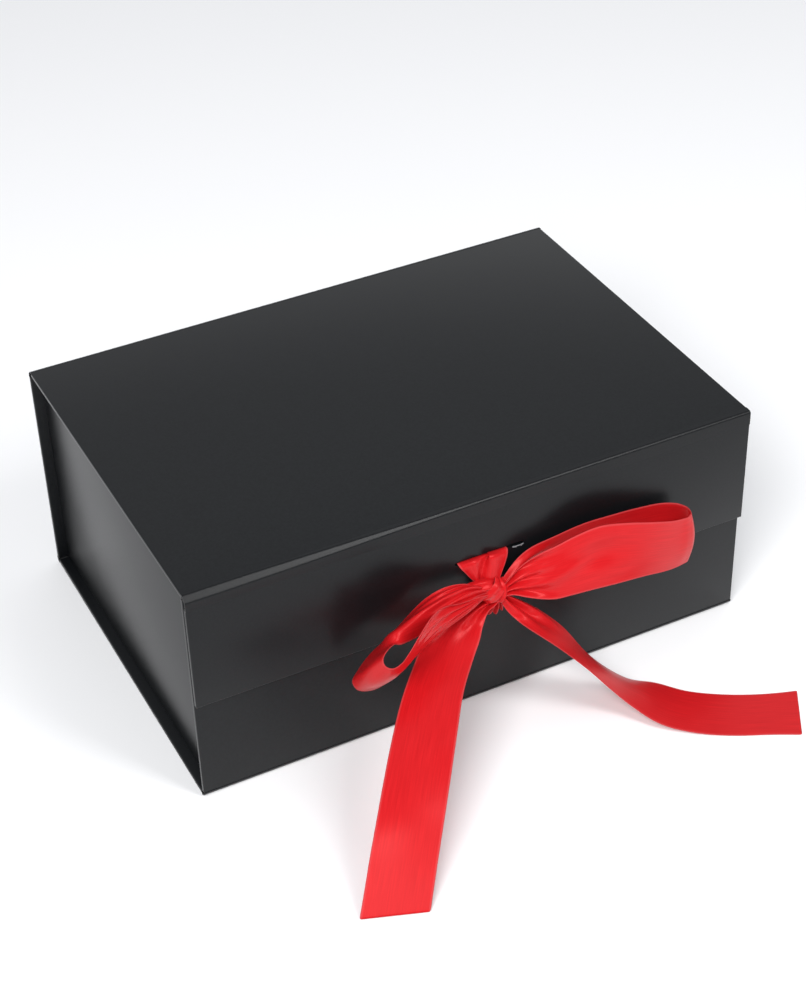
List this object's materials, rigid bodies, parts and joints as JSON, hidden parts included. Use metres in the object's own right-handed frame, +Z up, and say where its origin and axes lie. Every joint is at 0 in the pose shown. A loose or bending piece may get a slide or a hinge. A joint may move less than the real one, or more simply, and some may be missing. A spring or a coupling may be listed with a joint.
{
  "type": "gift box",
  "caption": "Rectangular black gift box with a hinged lid, a magnetic front flap and a red satin ribbon tied in a bow through a slot in the flap.",
  "frame": {"origin": "centre of the base's underside, on the surface the box stands on", "axes": "+Z up; +X along the box's length, to the right as seen from the flap; -Y out of the flap's face"},
  "size_m": [0.228, 0.2453, 0.095],
  "materials": {
    "wrap_paper": "satin",
    "lining_paper": "matte",
    "greyboard": "matte",
    "magnet": "satin",
    "adhesive_tape": "matte",
    "satin_ribbon": "satin"
  },
  "bodies": {
    "tray": {"back_board": "greyboard", "back_lining": "lining_paper", "back_wrap": "wrap_paper", "base_back_crease": "wrap_paper", "base_board": "greyboard", "base_front_crease": "wrap_paper", "base_lining": "lining_paper", "base_wrap": "wrap_paper", "front_board": "greyboard", "front_lining": "lining_paper", "front_wrap": "wrap_paper", "left_board": "greyboard", "left_end_tabs": "wrap_paper", "left_foot_tape": "adhesive_tape", "left_lining": "lining_paper", "left_tab_tapes": "adhesive_tape", "left_wrap": "wrap_paper", "right_board": "greyboard", "right_end_tabs": "wrap_paper", "right_foot_tape": "adhesive_tape", "right_lining": "lining_paper", "right_tab_tapes": "adhesive_tape", "right_wrap": "wrap_paper", "wall_magnets": "magnet"},
    "lid": {"lid_back_crease": "wrap_paper", "lid_board": "greyboard", "lid_lining": "lining_paper", "lid_wrap": "wrap_paper"},
    "flap": {"flap_board": "greyboard", "flap_crease": "wrap_paper", "flap_lining": "lining_paper", "flap_magnets": "magnet", "flap_wrap": "wrap_paper", "ribbon_behind_flap": "satin_ribbon", "ribbon_knot": "satin_ribbon", "ribbon_left_loop_back": "satin_ribbon", "ribbon_left_loop_front": "satin_ribbon", "ribbon_left_tail": "satin_ribbon", "ribbon_pleat": "satin_ribbon", "ribbon_right_loop": "satin_ribbon", "ribbon_right_tail": "satin_ribbon", "ribbon_throat": "satin_ribbon"}
  },
  "joints": [
    {"name": "lid_hinge", "type": "hinge", "parent": "tray", "child": "lid", "pos_m": [0, 0.0781, 0.09436], "axis": [-1, 0, 0], "range_deg": [0, 180], "deforming": ["lid_back_crease"]},
    {"name": "flap_hinge", "type": "hinge", "parent": "lid", "child": "flap", "pos_m": [0, -0.0803, 0.09424], "axis": [-1, 0, 0], "range_deg": [0, 90], "deforming": ["flap_crease"]}
  ]
}
